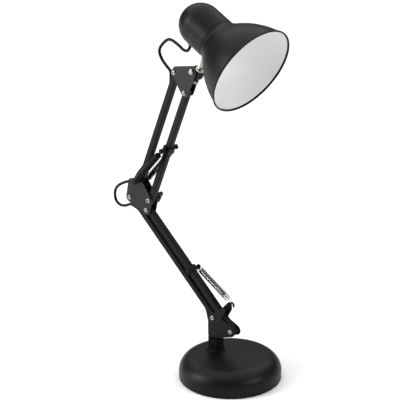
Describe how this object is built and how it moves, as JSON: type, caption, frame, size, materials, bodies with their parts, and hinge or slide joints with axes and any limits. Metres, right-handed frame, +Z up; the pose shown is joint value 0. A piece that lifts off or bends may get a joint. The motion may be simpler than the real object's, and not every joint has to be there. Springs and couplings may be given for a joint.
{
  "type": "swing arm desk lamp",
  "caption": "Desk lamp with a weighted round base, two sprung parallelogram arms and a tilting bell shade.",
  "frame": {"origin": "middle of the round base's underside, on the surface it stands on", "axes": "+Z up; the arms swing in the XZ plane and the shade opens towards +X; +Y is the lamp's far side, where the wing nut is"},
  "size_m": [0.3405, 0.16, 0.5854],
  "materials": {
    "satin_black": "satin black powder coat",
    "white_enamel": "matt white enamel, inside of the shade",
    "black_plastic": "moulded black plastic",
    "black_rubber": "flexible black insulation and foam",
    "clear_plastic": "thin clear plastic tube",
    "bright_nickel": "bright nickel plate",
    "cast_iron": "as cast",
    "brass": "plain brass"
  },
  "bodies": {
    "base": {"base_cover": "satin_black", "base_weight": "cast_iron", "base_pad": "black_rubber", "base_collar": "satin_black", "collar_nut": "bright_nickel"},
    "foot_swivel": {"lower_bracket": "satin_black", "swivel_spindle": "bright_nickel", "lower_rear_rivet": "bright_nickel", "lower_front_rivet": "bright_nickel", "lead_foot": "black_rubber"},
    "lower_rear_arm": {"lower_rear_bar": "satin_black", "lead_lower_run": "black_rubber"},
    "lower_front_arm": {"lower_front_bar": "satin_black", "lower_spring_clip": "black_plastic", "lower_spring": "bright_nickel", "lower_spring_sleeve": "clear_plastic"},
    "middle_joint": {"mid_plate_near": "satin_black", "mid_plate_far": "satin_black", "mid_spacer": "bright_nickel", "mid_rear_rivet": "bright_nickel", "mid_front_rivet": "bright_nickel", "upper_rear_pin": "satin_black", "upper_front_bolt": "bright_nickel", "lead_mid_loop": "black_rubber"},
    "wing_knob": {"mid_knob": "black_plastic"},
    "upper_rear_arm": {"upper_rear_bar": "satin_black", "lead_upper_run": "black_rubber"},
    "upper_front_arm": {"upper_front_bar": "satin_black", "upper_spring_clip": "black_plastic", "upper_spring_near": "bright_nickel", "upper_spring_far": "bright_nickel", "upper_spring_sleeve_near": "black_plastic", "upper_spring_sleeve_far": "clear_plastic"},
    "head_yoke": {"head_plate_near": "satin_black", "head_plate_far": "satin_black", "head_rear_rivet": "bright_nickel", "head_front_rivet": "bright_nickel", "tilt_bolt": "bright_nickel", "tilt_nut": "bright_nickel", "lead_head_loop": "black_rubber"},
    "tilt_clevis": {"tilt_block": "black_plastic", "swivel_stud": "bright_nickel", "swivel_nut": "bright_nickel"},
    "lamp_head": {"head_strap": "bright_nickel", "strap_rivet": "bright_nickel", "socket_cap": "satin_black", "cord_grommet": "black_rubber", "lamp_shade": "satin_black", "lampholder": "black_plastic", "shade_ring": "black_plastic", "holder_contact": "brass"}
  },
  "joints": [
    {"name": "base_swivel", "type": "hinge", "parent": "base", "child": "foot_swivel", "pos_m": [-0.031, 0, 0.0586], "axis": [0, 0, 1], "range_deg": [-170, 170]},
    {"name": "lower_arm", "type": "hinge", "parent": "foot_swivel", "child": "lower_rear_arm", "pos_m": [-0.031, 0, 0.0915], "axis": [0, 1, 0], "range_deg": [-4, 50], "deforming": ["lead_foot"]},
    {"name": "lower_arm_front", "type": "hinge", "parent": "foot_swivel", "child": "lower_front_arm", "pos_m": [0.0074, 0, 0.0794], "axis": [0, 1, 0], "range_deg": [-4, 50], "deforming": ["lower_spring", "lower_spring_sleeve"]},
    {"name": "middle_level", "type": "hinge", "parent": "lower_rear_arm", "child": "middle_joint", "pos_m": [-0.21535, 0, 0.24455], "axis": [0, 1, 0], "range_deg": [-50, 4], "deforming": ["lead_mid_loop"]},
    {"name": "upper_arm", "type": "hinge", "parent": "middle_joint", "child": "upper_rear_arm", "pos_m": [-0.19305, 0, 0.27765], "axis": [0, 1, 0], "range_deg": [-30, 50]},
    {"name": "upper_arm_front", "type": "hinge", "parent": "middle_joint", "child": "upper_front_arm", "pos_m": [-0.17145, 0, 0.24975], "axis": [0, 1, 0], "range_deg": [-30, 50], "deforming": ["upper_spring_near", "upper_spring_far", "upper_spring_sleeve_near", "upper_spring_sleeve_far"]},
    {"name": "head_level", "type": "hinge", "parent": "upper_rear_arm", "child": "head_yoke", "pos_m": [-0.10993, 0, 0.47159], "axis": [0, 1, 0], "range_deg": [-50, 30], "deforming": ["lead_head_loop"]},
    {"name": "head_tilt", "type": "hinge", "parent": "head_yoke", "child": "tilt_clevis", "pos_m": [-0.07213, 0, 0.48009], "axis": [0, 1, 0], "range_deg": [-40, 40]},
    {"name": "head_swivel", "type": "hinge", "parent": "tilt_clevis", "child": "lamp_head", "pos_m": [-0.06251, 0, 0.48097], "axis": [0.4462, 0, 0.8949], "range_deg": [-90, 90]},
    {"name": "knob_turn", "type": "hinge", "parent": "middle_joint", "child": "wing_knob", "pos_m": [-0.17145, 0, 0.24975], "axis": [0, 1, 0], "range_deg": [-180, 180]}
  ],
  "couplings": [
    {"joint": "lower_arm_front", "follows": "lower_arm", "ratio": 1},
    {"joint": "middle_level", "follows": "lower_arm", "ratio": -1},
    {"joint": "upper_arm_front", "follows": "upper_arm", "ratio": 1},
    {"joint": "head_level", "follows": "upper_arm", "ratio": -1}
  ]
}
